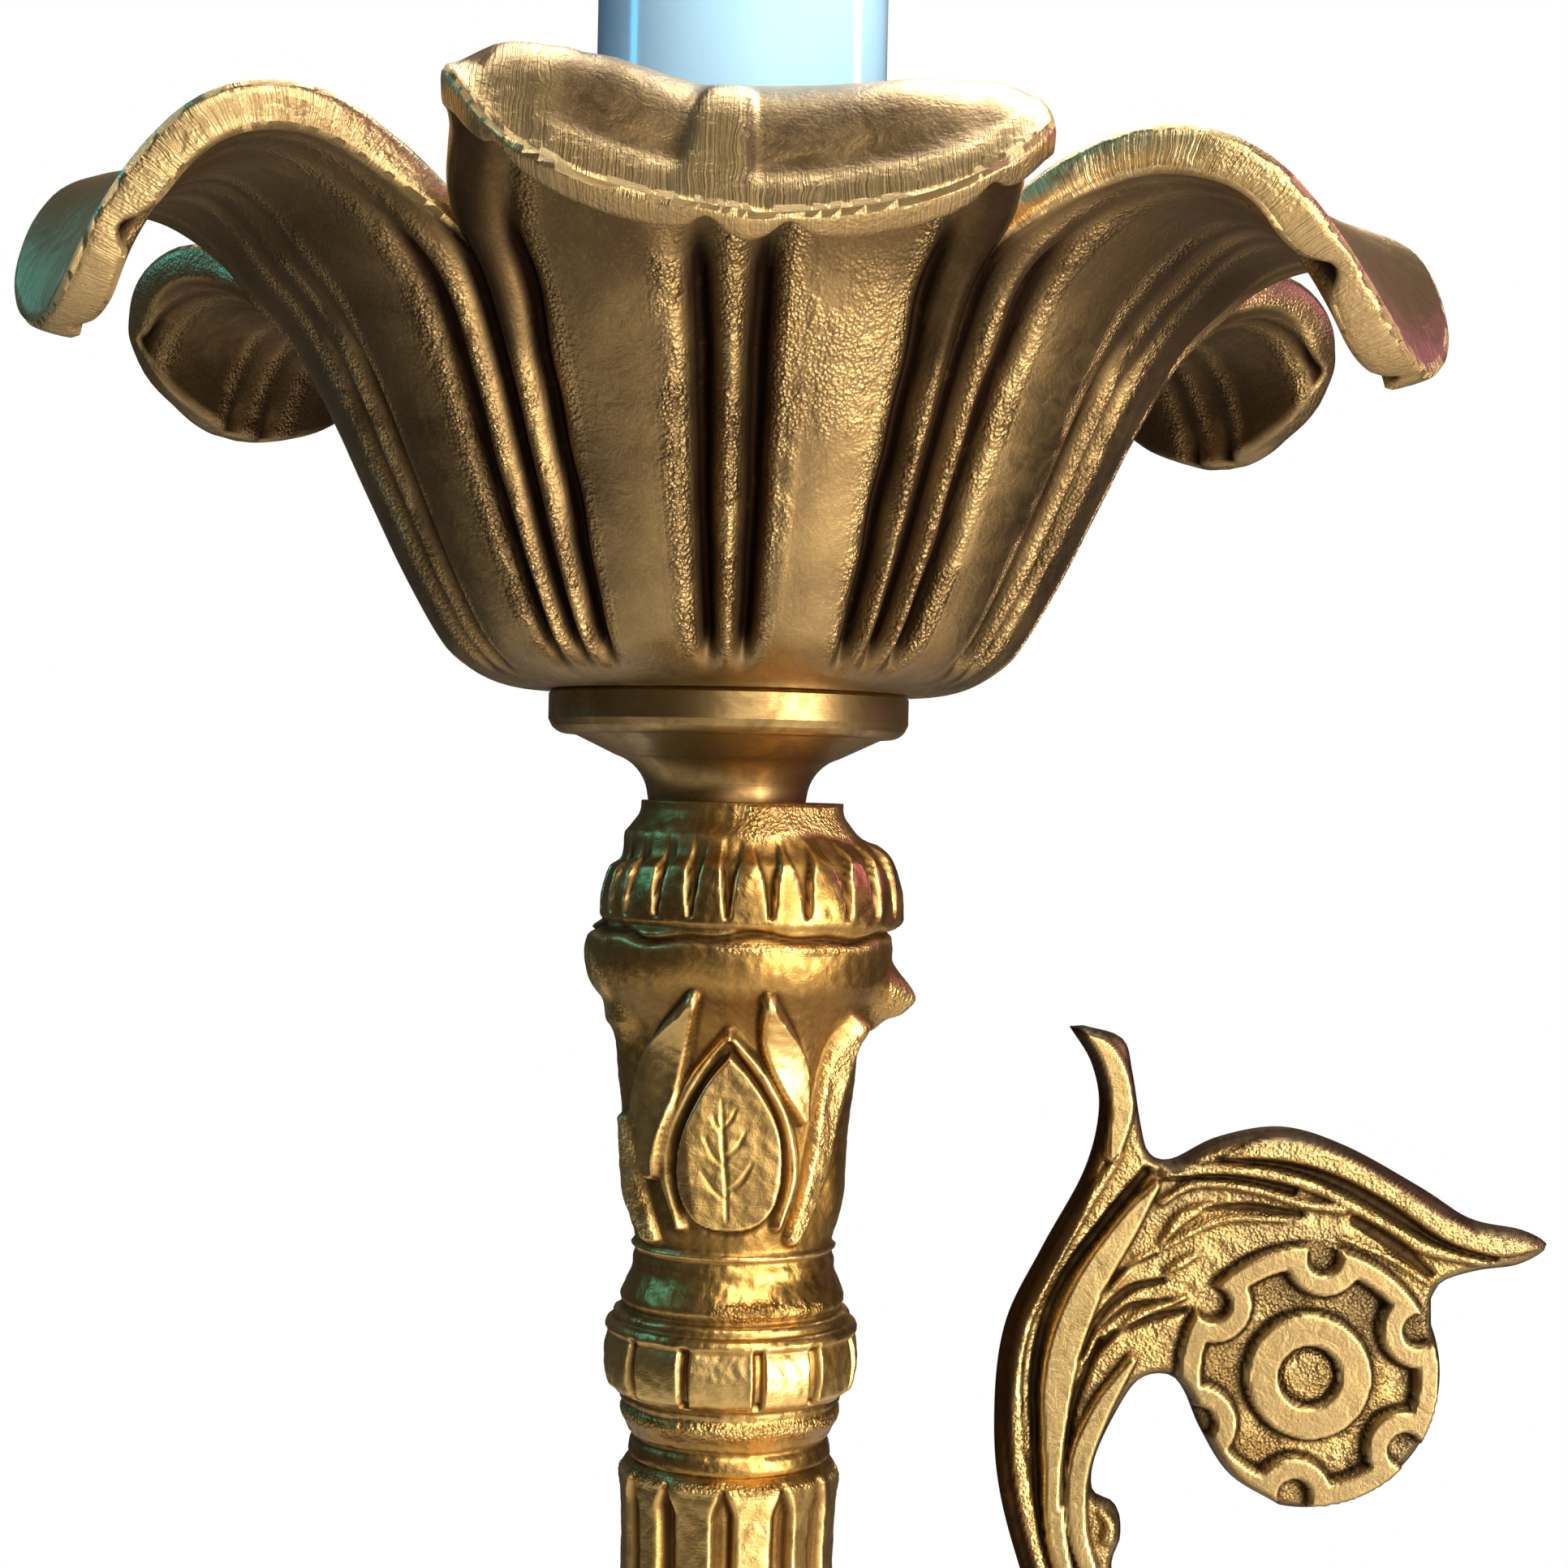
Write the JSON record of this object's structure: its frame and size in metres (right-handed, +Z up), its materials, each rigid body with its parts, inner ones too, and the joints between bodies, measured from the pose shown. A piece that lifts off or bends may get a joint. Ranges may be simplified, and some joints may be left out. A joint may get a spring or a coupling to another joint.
{
  "type": "altar candlestick",
  "caption": "Cast brass altar candlestick with a flared petal cup, moulded stem, a scroll arm on a turning ring, a round domed foot and a candle that lifts off its spike.",
  "frame": {"origin": "on the floor, under the centre of the round foot and of the tie rod", "axes": "+Z up along the tie rod and the candle; +X towards the scroll arm at rest; -Y is the front, where one petal points"},
  "size_m": [0.1462, 0.1462, 0.4585],
  "materials": {
    "cast_brass": "aged sand-cast brass, tarnished in the hollows, filed bright on the edges",
    "turned_brass": "lathe-turned, fine rings, lightly tarnished",
    "steel": "plain zinc-grey hardware",
    "wax": null,
    "wick": "braided cotton",
    "felt": "dark green wool felt"
  },
  "bodies": {
    "stand": {"lily_cup": "cast_brass", "cup_collar": "turned_brass", "upper_stem": "cast_brass", "fluted_shaft": "cast_brass", "ring_spool": "turned_brass", "ring_washers": "turned_brass", "lower_knop": "cast_brass", "base_neck": "turned_brass", "base_dome": "cast_brass", "base_moulding": "turned_brass", "foot_balls": "turned_brass", "foot_screws": "steel", "felt_pads": "felt", "base_washer": "steel", "lock_washer": "steel", "base_nut": "steel", "tie_rod": "steel", "locating_pin": "steel", "candle_socket": "turned_brass", "socket_washer": "steel", "pricket": "turned_brass"},
    "candle": {"candle": "wax", "candle_wick": "wick"},
    "arm": {"arm_ring": "turned_brass", "scroll_arm": "cast_brass", "arm_rivets": "turned_brass"}
  },
  "joints": [
    {"name": "candle_lift", "type": "slide", "parent": "stand", "child": "candle", "axis": [0, 0, 1], "range_m": [0, 0.06]},
    {"name": "arm_swivel", "type": "hinge", "parent": "stand", "child": "arm", "pos_m": [0, 0, 0.1361], "axis": [0, 0, 1], "range_deg": [-180, 180]}
  ]
}
